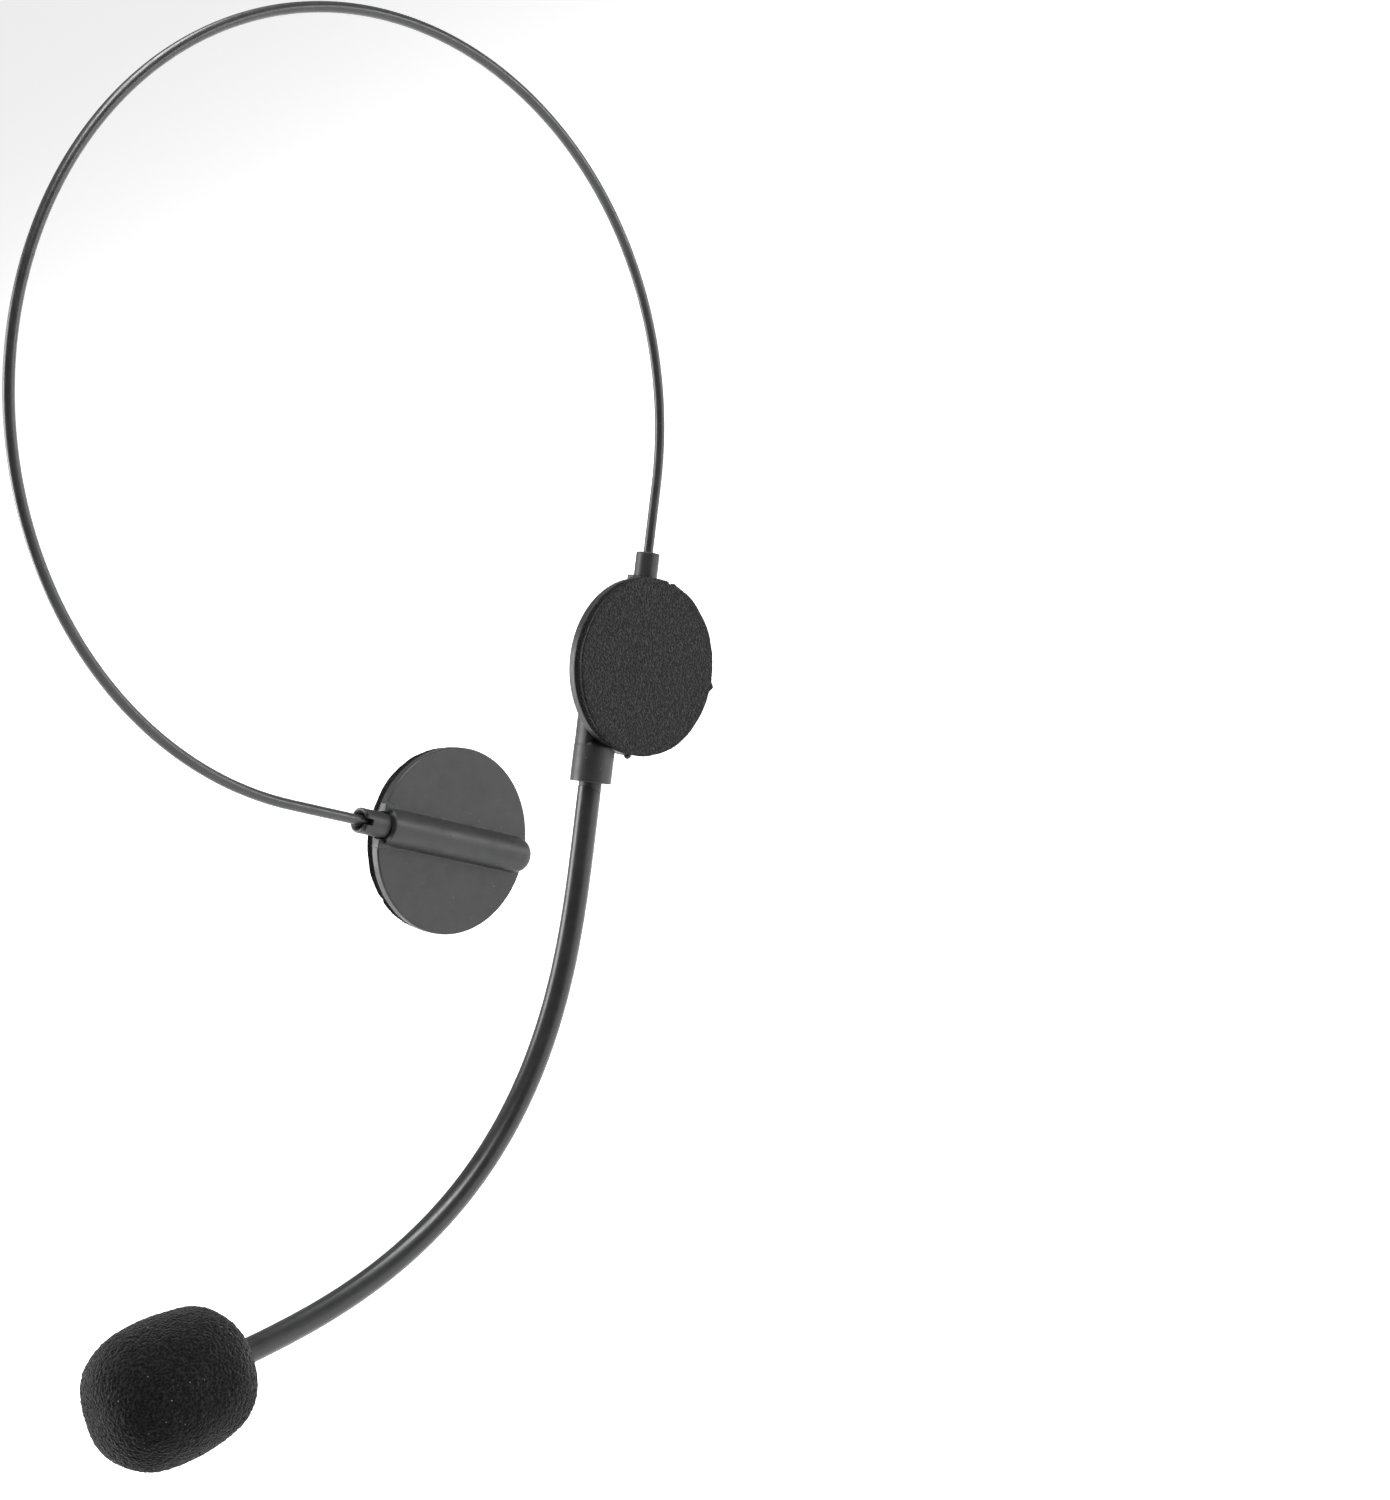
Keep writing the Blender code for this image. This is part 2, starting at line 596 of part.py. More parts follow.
def build_capsule(builder):
    """Holder, capsule, felt disc and windscreen, turned about the boom's straight end."""
    inside = CAPSULE_RADIUS + GAP
    floor_top = -(HOLDER_FLOOR - HOLDER_START)
    floor_end = floor_top - HOLDER_FLOOR_THICKNESS
    end = -(HOLDER_END - HOLDER_START)
    sleeve = SHEATH_RADIUS + GAP
    profile = [(sleeve, 0), (HOLDER_RADIUS, 0), (HOLDER_RADIUS, end), (inside, end), (inside, floor_end),
               (SHEATH_BORE, floor_end), (SHEATH_BORE, floor_top), (sleeve, floor_top)]
    holder = turned("capsule_holder", profile, TURNED_SIDES, hollow=True)
    builder.part(holder, "capsule_holder", "boom_tip", boom_frame(HOLDER_START), "boom_tube")

    capsule = turned("mic_capsule", [(CAPSULE_RADIUS, 0), (CAPSULE_RADIUS, -CAPSULE_LENGTH)], TURNED_SIDES)
    builder.part(capsule, "mic_capsule", "boom_tip", boom_frame(CAPSULE_START), "capsule_metal")
    felt = turned("capsule_felt", [(CAPSULE_RADIUS, 0), (CAPSULE_RADIUS, -FELT_THICKNESS)], TURNED_SIDES)
    felt_start = CAPSULE_START + CAPSULE_LENGTH + GAP
    builder.part(felt, "capsule_felt", "boom_tip", boom_frame(felt_start), "capsule_felt")

    screen = turned("windscreen", screen_profile(), SCREEN_SIDES)
    builder.part(screen, "windscreen", "screen", boom_frame(SCREEN_START), "screen_foam")


def screen_profile():
    """Rounded barrel with a blind bore: from the bore's floor out of its mouth and over the foam."""
    half = SCREEN_LENGTH / 2
    profile = [(SCREEN_BORE, -SCREEN_BORE_LENGTH), (SCREEN_BORE, -0.5 * MM)]
    for i in range(1, SCREEN_RINGS):
        angle = math.pi * i / SCREEN_RINGS
        width = math.sin(angle) ** (2 / SCREEN_POWER)
        depth = abs(math.cos(angle)) ** (2 / SCREEN_POWER) * math.copysign(1, math.cos(angle))
        radius = SCREEN_RADIUS * width
        profile.append((max(radius, SCREEN_BORE + MM), -half + half * depth))
    profile.append((2 * MM, -SCREEN_LENGTH))
    return profile


def main():
    for item in list(bpy.data.objects):
        bpy.data.objects.remove(item)
    builder = Builder()
    build_band(builder)
    for side, word in ((1, "right"), (-1, "left")):
        frame = ear_frame(side)
        build_plug(builder, word, frame)
        build_shell(builder, word, frame)
        build_pad(builder, word, frame)
    build_boom(builder, ear_frame(1))
    build_capsule(builder)


main()
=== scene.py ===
import json
import math

import bmesh
import bpy
from mathutils import Matrix, Vector, noise


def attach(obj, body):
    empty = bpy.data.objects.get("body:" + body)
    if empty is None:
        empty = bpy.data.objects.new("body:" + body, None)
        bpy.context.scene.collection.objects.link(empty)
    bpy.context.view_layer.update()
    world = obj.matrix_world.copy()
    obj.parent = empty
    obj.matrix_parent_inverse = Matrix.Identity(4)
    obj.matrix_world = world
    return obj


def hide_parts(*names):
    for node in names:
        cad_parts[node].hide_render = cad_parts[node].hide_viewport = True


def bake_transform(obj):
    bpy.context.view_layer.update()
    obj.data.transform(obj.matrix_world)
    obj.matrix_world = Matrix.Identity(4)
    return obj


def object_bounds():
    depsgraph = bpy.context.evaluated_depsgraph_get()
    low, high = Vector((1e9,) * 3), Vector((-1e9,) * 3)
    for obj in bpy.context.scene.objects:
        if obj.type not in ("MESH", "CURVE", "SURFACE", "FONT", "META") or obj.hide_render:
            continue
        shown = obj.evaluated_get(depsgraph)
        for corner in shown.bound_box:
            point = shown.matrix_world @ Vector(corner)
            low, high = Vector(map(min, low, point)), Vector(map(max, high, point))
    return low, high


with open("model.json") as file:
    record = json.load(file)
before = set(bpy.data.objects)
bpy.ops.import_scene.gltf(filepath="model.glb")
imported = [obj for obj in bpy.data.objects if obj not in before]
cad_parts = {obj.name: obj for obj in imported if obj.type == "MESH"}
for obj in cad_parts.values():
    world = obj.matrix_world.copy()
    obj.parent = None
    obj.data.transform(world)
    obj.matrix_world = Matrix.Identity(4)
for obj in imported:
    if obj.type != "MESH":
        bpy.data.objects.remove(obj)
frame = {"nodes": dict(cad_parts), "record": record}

MM = 0.001
cad_low, cad_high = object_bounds()
scene = bpy.context.scene
NODES = frame["nodes"]


# ------------------------------------------------------------------ dimensions shared with the CAD

WIRE_RADIUS = 0.9 * MM
COATED_RADIUS = 1.0 * MM
BAND_RADIUS = 72.5 * MM
BAND_HALF_TURN = math.radians(132.2)
BAND_STRAIGHT = 14.2 * MM
WIRE_INSERT = 8.0 * MM

EAR_RADIUS = 18.0 * MM
EAR_DROP = {"right": 22.9 * MM, "left": 24.6 * MM}
PLATE_OUTER_Y = -0.25 * MM
PLATE_THICKNESS = 1.9 * MM
PLATE_INNER_Y = PLATE_OUTER_Y - PLATE_THICKNESS
PAD_FACE_Y = {"right": -4.45 * MM, "left": -4.1 * MM}
PAD_RADIUS = {"right": 18.05 * MM, "left": 17.8 * MM}

BOOM_X, BOOM_Y = -6.6 * MM, 1.8 * MM
SOCKET_MOUTH_Z = -47.4 * MM
SHEATH_RADIUS = 2.4 * MM
SHEATH_BORE = 2.1 * MM
BOOM_TURN = math.radians(71.3)
BOOM_EASE_START = 9.4 * MM
BOOM_EASE_LENGTH = 140.2 * MM
BOOM_LENGTH = 149.2 * MM
SHEATH_TOP = 1.7 * MM
SHEATH_SLANT = math.radians(-20)
PATH_STEP = 0.25 * MM

SCREEN_START = 143.3 * MM
SCREEN_LENGTH = 29.6 * MM
SCREEN_RADIUS = 12.95 * MM
SCREEN_POWER = 2.7
SCREEN_BORE = 3.8 * MM
SCREEN_BORE_LENGTH = 13.5 * MM

PLUG_RADIUS = 2.4 * MM
PLUG_TOP_Z = {"right": 0.35 * MM, "left": -1.2 * MM}
PLUG_END_Z = -7.3 * MM
PLUG_BORE = 1.2 * MM
SHAFT_RADIUS = 1.1 * MM
SHAFT_END_Z = -20.4 * MM
HEAD_RADIUS = 1.45 * MM
HEAD_LENGTH = 2.0 * MM
GAP = 0.3 * MM
PLUG_GAP = 0.15 * MM
RIB_RADIUS = 3.5 * MM
RIB_TOP_Z = -7.45 * MM
RIB_END_Z = {"right": -41.1 * MM, "left": -42.4 * MM}
RECESS_RADIUS = 13.0 * MM
RECESS_DEPTH = 0.7 * MM
SOCKET_RADIUS = 4.2 * MM
SOCKET_TOP_Z = -30.5 * MM
SOCKET_ARCH_Z = -38.6 * MM
SOCKET_DOME = 1.6 * MM
SOCKET_BORE_TOP_Z = -40.7 * MM
SOCKET_FLAT_Y = 0.2 * MM
SPIGOT_RADIUS = 2.35 * MM
SPIGOT_NECK = 2.05 * MM
SPIGOT_BORE = 1.55 * MM
SPIGOT_SHOULDER_Z = SOCKET_MOUTH_Z - 1.62 * MM
SPIGOT_END_Z = SOCKET_MOUTH_Z - 5.0 * MM
SPIGOT_TOP_Z = -41.3 * MM


def band_point(angle):
    centre_z = -(BAND_RADIUS - WIRE_RADIUS)
    return Vector((BAND_RADIUS * math.sin(angle), 0, centre_z + BAND_RADIUS * math.cos(angle)))


def band_heading(angle):
    return Vector((math.cos(angle), 0, -math.sin(angle)))


def boom_direction(length):
    share = min(max((length - BOOM_EASE_START) / BOOM_EASE_LENGTH, 0.0), 1.0)
    angle = BOOM_TURN * share * share * (3 - 2 * share)
    return Vector((-math.sin(angle), 0, -math.cos(angle)))


def boom_point(length):
    mouth = Vector((BOOM_X, BOOM_Y, SOCKET_MOUTH_Z))
    if length <= 0:
        return mouth + boom_direction(0) * length
    steps = max(1, math.ceil(length / PATH_STEP))
    step = length / steps
    return mouth + sum((boom_direction((i + 0.5) * step) * step for i in range(steps)), Vector())


def axes_frame(origin, x_axis, y_axis, z_axis):
    return Matrix.Translation(origin) @ Matrix((x_axis, y_axis, z_axis)).transposed().to_4x4()


def ear_frame(side):
    """An ear's axes: the plug's mouth, +Z up the wire's end, +Y away from the head at rest."""
    flip = Vector((side, 1, 1))
    heading = band_heading(BAND_HALF_TURN) * flip
    mouth = band_point(BAND_HALF_TURN) * flip + heading * BAND_STRAIGHT
    outward = Vector((0, side, 0))
    return axes_frame(mouth, outward.cross(-heading), outward, -heading)


EAR = {"right": ear_frame(1), "left": ear_frame(-1)}


# ------------------------------------------------------------------ mesh tools

SHARP_ANGLE = math.radians(40)
FILLET_STEPS = 5
FILLET_LIMIT = 2.2    # a fillet takes at most 1/2.2 of the edges beside it


def finish_mesh(name, bm):
    bmesh.ops.recalc_face_normals(bm, faces=bm.faces)
    mesh = bpy.data.meshes.new(name)
    bm.to_mesh(mesh)
    bm.free()
    mesh.shade_smooth()
    mesh.set_sharp_from_angle(angle=SHARP_ANGLE)
    return mesh


def ring(bm, centre, across, up, radius, sides):
    angles = (2 * math.pi * i / sides for i in range(sides))
    return [bm.verts.new(centre + radius * (math.cos(a) * across + math.sin(a) * up)) for a in angles]


def bridge(bm, first, second):
    count = len(first)
    for i in range(count):
        j = (i + 1) % count
        bm.faces.new((first[i], first[j], second[j], second[i]))


def lathe(name, profile, sides, closed=False):
    """Turned about Z from (radius, z) points: a solid with flat ends, or a closed loop."""
    bm = bmesh.new()
    x_axis, y_axis = Vector((1, 0, 0)), Vector((0, 1, 0))
    rings = [ring(bm, Vector((0, 0, z)), x_axis, y_axis, r, sides) for r, z in profile]
    for first, second in zip(rings, rings[1:]):
        bridge(bm, first, second)
    if closed:
        bridge(bm, rings[-1], rings[0])
    else:
        bm.faces.new(rings[0])
        bm.faces.new(rings[-1])
    return finish_mesh(name, bm)


def sweep(name, frames, radius, sides, bore=None, offset=0.0):
    """A rod or, with a bore, a tube through (point, across, up) frames."""
    bm = bmesh.new()
    outer = [ring(bm, p + offset * across, across, up, radius, sides) for p, across, up in frames]
    for first, second in zip(outer, outer[1:]):
        bridge(bm, first, second)
    if bore is None:
        bm.faces.new(outer[0])
        bm.faces.new(outer[-1])
        return finish_mesh(name, bm)
    inner = [ring(bm, p, across, up, bore, sides) for p, across, up in frames]
    for first, second in zip(inner, inner[1:]):
        bridge(bm, first, second)
    bridge(bm, outer[0], inner[0])
    bridge(bm, outer[-1], inner[-1])
    return finish_mesh(name, bm)


def box_mesh(name, x, y, z):
    bm = bmesh.new()
    bmesh.ops.create_cube(bm, size=1)
    size = (x[1] - x[0], y[1] - y[0], z[1] - z[0])
    middle = Vector((x[0] + x[1], y[0] + y[1], z[0] + z[1])) / 2
    fit = Matrix.Translation(middle) @ Matrix.Diagonal((*size, 1))
    bmesh.ops.transform(bm, matrix=fit, verts=bm.verts)
    return finish_mesh(name, bm)


def ball_mesh(name, centre, radius):
    bm = bmesh.new()
    bmesh.ops.create_icosphere(bm, subdivisions=3, radius=radius)
    bmesh.ops.transform(bm, matrix=Matrix.Translation(centre), verts=bm.verts)
    return finish_mesh(name, bm)


def moved(mesh, matrix):
    mesh.transform(matrix)
    return mesh


def filleted(points, radius):
    """A closed (radius, z) loop with every corner rounded."""
    out = []
    count = len(points)
    for i in range(count):
        before, here, after = (Vector(points[(i + k) % count]) for k in (-1, 0, 1))
        a, b = (before - here), (after - here)
        cut = min(radius, a.length / FILLET_LIMIT, b.length / FILLET_LIMIT)
        start, end = here + a.normalized() * cut, here + b.normalized() * cut
        for k in range(FILLET_STEPS + 1):
            t = k / FILLET_STEPS
            out.append(tuple(start * (1 - t) ** 2 + here * 2 * t * (1 - t) + end * t * t))
    return out


def shown_mesh(item):
    graph = bpy.context.evaluated_depsgraph_get()
    return bpy.data.meshes.new_from_object(item.evaluated_get(graph), depsgraph=graph)


def temporary(mesh):
    item = bpy.data.objects.new(mesh.name, mesh)
    scene.collection.objects.link(item)
    return item


def carved(mesh, steps):
    """mesh after a run of ("UNION" or "DIFFERENCE", mesh) Boolean steps."""
    item = temporary(mesh)
    tools = []
    for operation, operand in steps:
        tool = temporary(operand)
        tools.append(tool)
        step = item.modifiers.new(operation, "BOOLEAN")
        step.operation = operation
        step.solver = "EXACT"
        step.object = tool
    result = shown_mesh(item)
    for used in (item, *tools):
        bpy.data.objects.remove(used)
    return result


def moulded(mesh, voxel, passes):
    """mesh remade on a voxel grid, with the small soft edges of an injection moulding."""
    item = temporary(mesh)
    remesh = item.modifiers.new("cells", "REMESH")
    remesh.mode = "VOXEL"
    remesh.voxel_size = voxel
    smooth = item.modifiers.new("soften", "SMOOTH")
    smooth.factor = 0.5
    smooth.iterations = passes
    result = shown_mesh(item)
    bpy.data.objects.remove(item)
    result.shade_smooth()
    return result


def clip_below(mesh, y_limit):
    """mesh without what lies below y_limit, closed with a flat face."""
    bm = bmesh.new()
    bm.from_mesh(mesh)
    geometry = bm.verts[:] + bm.edges[:] + bm.faces[:]
    cut = bmesh.ops.bisect_plane(bm, geom=geometry, plane_co=(0, y_limit, 0), plane_no=(0, -1, 0),
                                 clear_outer=True)
    rim = [e for e in cut["geom_cut"] if isinstance(e, bmesh.types.BMEdge)]
    bmesh.ops.holes_fill(bm, edges=rim)
    bmesh.ops.recalc_face_normals(bm, faces=bm.faces)
    bm.to_mesh(mesh)
    bm.free()
    return mesh


def piece(name, mesh, material, nodes, frame_matrix=None):
    """A shown piece that stands for CAD nodes."""
    if frame_matrix is not None:
        mesh.transform(frame_matrix)
    mesh.materials.clear()
    mesh.materials.append(material)
    item = bpy.data.objects.new(name, mesh)
    scene.collection.objects.link(item)
    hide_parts(*nodes)
    return item


# ------------------------------------------------------------------ materials

class Nodes:
    """Builds one procedural material. Lengths are in metres, in object coordinates."""

    def __init__(self, name):
        self.material = bpy.data.materials.new(name)
        self.material.use_nodes = True
        self.tree = self.material.node_tree
        self.shader = self.tree.nodes["Principled BSDF"]
        self.place = self.add("ShaderNodeTexCoord").outputs["Object"]

    def add(self, kind, **values):
        node = self.tree.nodes.new(kind)
        for key, value in values.items():
            setattr(node, key, value)
        return node

    def link(self, source, target):
        self.tree.links.new(source, target)

    def constant(self, **values):
        for key, value in values.items():
            self.shader.inputs[key.replace("_", " ")].default_value = value

    def noise(self, size, detail=3.0, rough=0.55, stretch=None):
        node = self.add("ShaderNodeTexNoise")
        node.inputs["Scale"].default_value = 1 / size
        node.inputs["Detail"].default_value = detail
        node.inputs["Roughness"].default_value = rough
        if stretch:
            scale = self.add("ShaderNodeMapping")
            scale.inputs["Scale"].default_value = stretch
            self.link(self.place, scale.inputs["Vector"])
            self.link(scale.outputs["Vector"], node.inputs["Vector"])
        else:
            self.link(self.place, node.inputs["Vector"])
        return node.outputs["Fac"]

    def cells(self, size, feature="F1"):
        node = self.add("ShaderNodeTexVoronoi", feature=feature)
        node.inputs["Scale"].default_value = 1 / size
        self.link(self.place, node.inputs["Vector"])
        return node.outputs["Distance"]

    def remap(self, value, low, high, to_low, to_high):
        node = self.add("ShaderNodeMapRange")
        for key, number in zip(("From Min", "From Max", "To Min", "To Max"), (low, high, to_low, to_high)):
            node.inputs[key].default_value = number
        self.link(value, node.inputs["Value"])
        return node.outputs["Result"]

    def blend(self, share, first, second):
        """Colour mix; first and second are colours or sockets."""
        node = self.add("ShaderNodeMix", data_type="RGBA")
        self.link(share, node.inputs["Factor"])
        for key, value in (("A", first), ("B", second)):
            target = [s for s in node.inputs if s.name == key and s.type == "RGBA"][0]
            if isinstance(value, bpy.types.NodeSocket):
                self.link(value, target)
            else:
                target.default_value = (*value, 1)
        return [s for s in node.outputs if s.type == "RGBA"][0]

    def combine(self, first, second, operation):
        node = self.add("ShaderNodeMath", operation=operation)
        self.link(first, node.inputs[0])
        if isinstance(second, bpy.types.NodeSocket):
            self.link(second, node.inputs[1])
        else:
            node.inputs[1].default_value = second
        return node.outputs[0]

    def bump(self, height, strength, depth, after=None):
        node = self.add("ShaderNodeBump")
        node.inputs["Strength"].default_value = strength
        node.inputs["Distance"].default_value = depth
        self.link(height, node.inputs["Height"])
        if after is not None:
            self.link(after, node.inputs["Normal"])
        return node.outputs["Normal"]

    def wire(self, colour=None, roughness=None, normal=None):
        for key, value in (("Base Color", colour), ("Roughness", roughness), ("Normal", normal)):
            if value is not None:
                self.link(value, self.shader.inputs[key])
        return self.material


NOISE_BODY = (0.3, 0.7)    # the range that most of a noise texture's values fall in
NOISE_CORE = (0.35, 0.65)
DUST_WIRE, DUST_DISC, DUST_BOOM, DUST_FOAM = 0.16, 0.20, 0.18, 0.20


def grey(value, tint=0.0):
    return (value, value, value * (1 + tint))


def coated_wire():
    n = Nodes("coated_wire")
    n.constant(Coat_Weight=0.15, Coat_Roughness=0.22)
    patches = n.noise(6 * MM, 4)
    specks = n.remap(n.noise(0.22 * MM, 2), 0.70, 0.76, 0, 1)
    colour = n.blend(n.remap(patches, *NOISE_CORE, 0, 1), grey(0.016, 0.04), grey(0.026, 0.04))
    colour = n.blend(specks, colour, grey(DUST_WIRE))
    roughness = n.remap(n.noise(1.2 * MM, 4), *NOISE_BODY, 0.28, 0.46)
    normal = n.bump(n.noise(0.35 * MM, 3), 0.25, 0.02 * MM)
    return n.wire(colour, roughness, normal)


def disc_plastic():
    n = Nodes("disc_plastic")
    n.constant(Specular_IOR_Level=0.5)
    cloud = n.noise(11 * MM, 3)
    grain = n.noise(0.16 * MM, 2)
    dust = n.remap(n.noise(0.30 * MM, 2, 0.5), 0.735, 0.775, 0, 1)
    colour = n.blend(n.remap(cloud, *NOISE_BODY, 0, 1), grey(0.011, 0.03), grey(0.018, 0.03))
    colour = n.blend(dust, colour, grey(DUST_DISC))
    roughness = n.remap(n.noise(2.5 * MM, 5), *NOISE_BODY, 0.40, 0.54)
    swirl = n.bump(n.noise(4 * MM, 2, 0.5, stretch=(1, 1, 0.25)), 0.10, 0.05 * MM)
    normal = n.bump(grain, 0.22, 0.015 * MM, swirl)
    return n.wire(colour, roughness, normal)


def boom_tube():
    n = Nodes("boom_tube")
    n.constant(Coat_Weight=0.1, Coat_Roughness=0.14, Specular_IOR_Level=0.4)
    cloud = n.noise(5 * MM, 4)
    dust = n.remap(n.noise(0.24 * MM, 2), 0.74, 0.78, 0, 1)
    colour = n.blend(n.remap(cloud, *NOISE_BODY, 0, 1), grey(0.014, 0.05), grey(0.022, 0.05))
    colour = n.blend(dust, colour, grey(DUST_BOOM))
    roughness = n.remap(n.noise(1.6 * MM, 4), *NOISE_BODY, 0.28, 0.38)
    normal = n.bump(n.noise(0.5 * MM, 3), 0.2, 0.02 * MM)
    return n.wire(colour, roughness, normal)


def foam(name, cell, dark, light, fleck, shaded_side_keep=1.0):
    """Open-celled foam: dark pits between paler struts, with a few bright flecks. Below 1, the last
    argument is the share of colour kept on faces that don't look along Y; the rest is painted shade."""
    n = Nodes(name)
    n.constant(Sheen_Weight=0.14, Sheen_Roughness=0.4, Specular_IOR_Level=0.12)
    pits = n.cells(cell)
    struts = n.noise(cell * 0.8, 4, 0.7)
    mix = n.combine(n.remap(pits, 0.15, 0.75, 0, 1), n.remap(struts, *NOISE_CORE, 0, 1), "MULTIPLY")
    colour = n.blend(mix, grey(dark, 0.02), grey(light, 0.02))
    flecks = n.remap(n.noise(cell * 1.1, 2), fleck, fleck + 0.05, 0, 1)
    colour = n.blend(flecks, colour, grey(DUST_FOAM))
    # painted shade: faces that don't look along Y are mixed towards black
    if shaded_side_keep < 1:
        facing = n.add("ShaderNodeSeparateXYZ")
        n.link(n.add("ShaderNodeTexCoord").outputs["Normal"], facing.inputs["Vector"])
        side_shade_mix = n.remap(n.combine(facing.outputs["Y"], 0.0, "ABSOLUTE"), 0.3, 0.9, 1 - shaded_side_keep, 0)
        colour = n.blend(side_shade_mix, colour, grey(0.0))
    roughness = n.remap(struts, *NOISE_BODY, 0.88, 1.0)
    normal = n.bump(pits, 0.9, cell * 0.5)
    return n.wire(colour, roughness, n.bump(struts, 0.6, cell * 0.35, normal))


def metal(name, colour, stretch, rough):
    """Bare metal with drawn or turned lines."""
    n = Nodes(name)
    n.constant(Metallic=1.0)
    lines = n.noise(0.3 * MM, 4, 0.6, stretch=stretch)
    tone = n.blend(n.remap(lines, *NOISE_BODY, 0, 1), grey(colour * 0.8), grey(colour))
    roughness = n.remap(lines, *NOISE_BODY, rough, rough + 0.15)
    return n.wire(tone, roughness, n.bump(lines, 0.15, 0.01 * MM))


def plain_film(name, first, second, size, rough):
    """A plain sheet or jacket, clouded between two colours."""
    n = Nodes(name)
    cloud = n.noise(size, 4)
    tone = n.blend(n.remap(cloud, *NOISE_BODY, 0, 1), first, second)
    roughness = n.remap(cloud, *NOISE_BODY, rough, rough + 0.15)
    return n.wire(tone, roughness, n.bump(n.noise(size / 6, 3), 0.2, 0.02 * MM))


FINISH = {
    "coated_wire": coated_wire(),
    "disc_plastic": disc_plastic(),
    "boom_tube": boom_tube(),
    # the pad's sides get painted shade
    "pad_foam": foam("pad_foam", 0.45 * MM, 0.008, 0.052, 0.73, shaded_side_keep=0.15),
    "screen_foam": foam("screen_foam", 0.50 * MM, 0.0005, 0.021, 0.72),
    "adhesive_tape": plain_film("adhesive_tape", (0.50, 0.48, 0.42), (0.60, 0.58, 0.52), 2 * MM, 0.5),
    "steel_core": metal("steel_core", 0.50, (1, 1, 0.1), 0.28),
    "lead_jacket": plain_film("lead_jacket", (0.20, 0.02, 0.02), (0.30, 0.04, 0.03), 3 * MM, 0.42),
    "capsule_metal": metal("capsule_metal", 0.72, (1, 1, 1), 0.25),
    "capsule_felt": foam("capsule_felt", 0.15 * MM, 0.006, 0.02, 0.8),
}


# ------------------------------------------------------------------ headband

WIRE_SIDES = 28
BAND_STEPS = 96
STRAIGHT_STEPS = 8


def wire_frames(side):
    """Half the band, from the crown to the wire's end in the plug."""
    y_axis = Vector((0, 1, 0))
    flip = Vector((side, 1, 1))
    frames = []
    for i in range(BAND_STEPS + 1):
        angle = BAND_HALF_TURN * i / BAND_STEPS
        heading = band_heading(angle) * flip
        frames.append((band_point(angle) * flip, y_axis, y_axis.cross(heading)))
    end, _, up = frames[-1]
    heading = band_heading(BAND_HALF_TURN) * flip
    for i in range(1, STRAIGHT_STEPS + 1):
        along = heading * (BAND_STRAIGHT + WIRE_INSERT) * i / STRAIGHT_STEPS
        frames.append((end + along, y_axis, up))
    return frames


def build_band():
    for word, side in (("right", 1), ("left", -1)):
        wire = sweep("wire", wire_frames(side), COATED_RADIUS, WIRE_SIDES)
        item = piece(f"headband_wire_{word}", wire, FINISH["coated_wire"],
                     ("band_crown", f"{word}_band_arm"))
        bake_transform(item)


# ------------------------------------------------------------------ ear discs

ROUND_STEPS = 5
DOME_STEPS, DOME_FULLNESS, DOME_FLAT = 14, 0.6, 0.2
SINK = 1 * MM                # how far a cutting tool runs past what it cuts
RIB_DOME, RIB_SET_IN = 2.6 * MM, 0.7 * MM
BOSS_INSET, BOSS_REACH = 0.4 * MM, 1.7 * MM
BOSS_Y = (PLATE_OUTER_Y - 1.0 * MM, 0.75 * MM)
BOSS_LENGTH, BOSS_PROUD = 2.9 * MM, 0.25 * MM
BARREL_DOME_ANGLES = tuple(math.radians(6 + 6 * i) for i in range(15))
SPINE_SET_IN, SPINE_ABOVE_MOUTH = 0.06 * MM, 2 * MM
WEB_X = (BOOM_X - 1.4 * MM, BOOM_X + 3.9 * MM)
WEB_Y = (PLATE_OUTER_Y - 0.6 * MM, SOCKET_FLAT_Y + 0.6 * MM)
WEB_Z = (SOCKET_ARCH_Z + 1.1 * MM, SOCKET_TOP_Z - 0.2 * MM)
GATE_AT, GATE_RADIUS = (-0.5 * MM, -1.6 * MM, -41.1 * MM), 0.75 * MM
CHANNEL_SHARE, CHANNEL_TOP_Y = 0.95, 0.13 * MM
SOCKET_LIP, SOCKET_CLEARANCE = 0.7 * MM, 0.15 * MM
SHELL_CELL, PLUG_CELL = 0.14 * MM, 0.1 * MM


def across(mesh, word):
    """Turns a shape made about Z to face the ear's +Y, about the disc's centre."""
    return moved(mesh, Matrix.Translation((0, 0, -EAR_DROP[word])) @ Matrix.Rotation(-math.pi / 2, 4, "X"))


def disc_mesh(word, radius, y_low, y_high, sides=160, edge=0.25 * MM):
    profile = []
    for i in range(ROUND_STEPS + 1):
        a = math.pi / 2 * i / ROUND_STEPS
        profile.append((radius - edge + edge * math.sin(a), y_high - edge + edge * math.cos(a)))
    for i in range(ROUND_STEPS + 1):
        a = math.pi / 2 * i / ROUND_STEPS
        profile.append((radius - edge + edge * math.cos(a), y_low + edge - edge * math.sin(a)))
    return across(lathe("disc", profile, sides), word)


def bar_mesh(radius, z_low, z_high, sides=72, x=0.0, y=0.0, dome=0.0):
    """A bar along Z, with a rounded lower end where dome is given."""
    profile = [(radius, z_high), (radius, z_low + dome)]
    if dome:
        for i in range(1, DOME_STEPS):
            angle = math.pi / 2 * i / DOME_STEPS
            reach = radius * math.cos(angle) ** DOME_FULLNESS
            profile.append((reach, z_low + dome * (1 - math.sin(angle))))
        profile.append((radius * DOME_FLAT, z_low))
    return moved(lathe("bar", profile, sides), Matrix.Translation((x, y, 0)))


